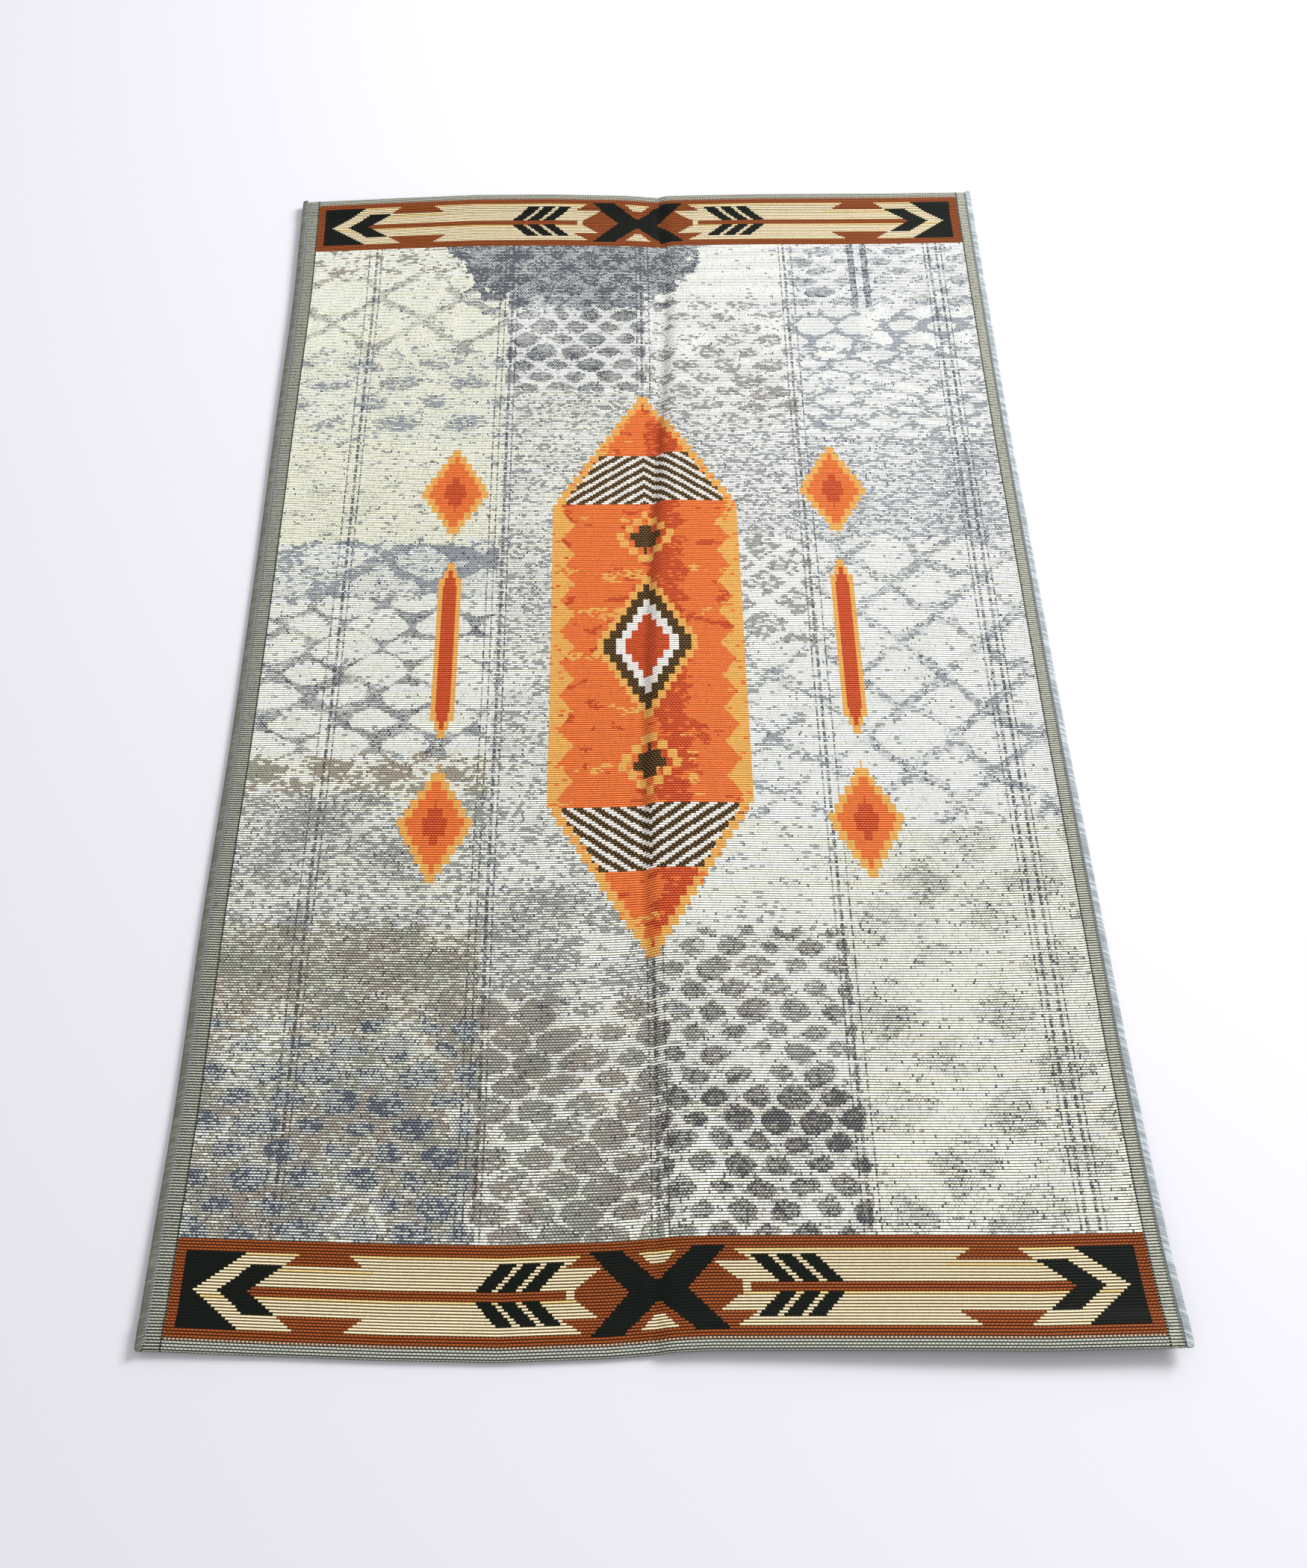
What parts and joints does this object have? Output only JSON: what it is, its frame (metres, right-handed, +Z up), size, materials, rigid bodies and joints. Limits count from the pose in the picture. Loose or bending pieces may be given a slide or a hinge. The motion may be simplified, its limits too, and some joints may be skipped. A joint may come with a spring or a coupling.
{
  "type": "rug",
  "caption": "Rectangular flat-woven rug lying on a floor, with turned-under hems at both ends, overlocked side bindings and a lengthwise fold crease.",
  "frame": {"origin": "centre of the rug's outline, on the floor that it lies on", "axes": "+Z up off the floor, +Y along the rug away from the viewer, +X across it to the right"},
  "size_m": [1.2078, 2.0128, 0.0244],
  "materials": {
    "woven_cloth": "flat-woven plastic yarn with a low satin sheen",
    "binding_thread": "close overlocked grey thread"
  },
  "bodies": {
    "root": {"rug_cloth": "woven_cloth", "left_binding": "binding_thread", "right_binding": "binding_thread"}
  },
  "joints": []
}
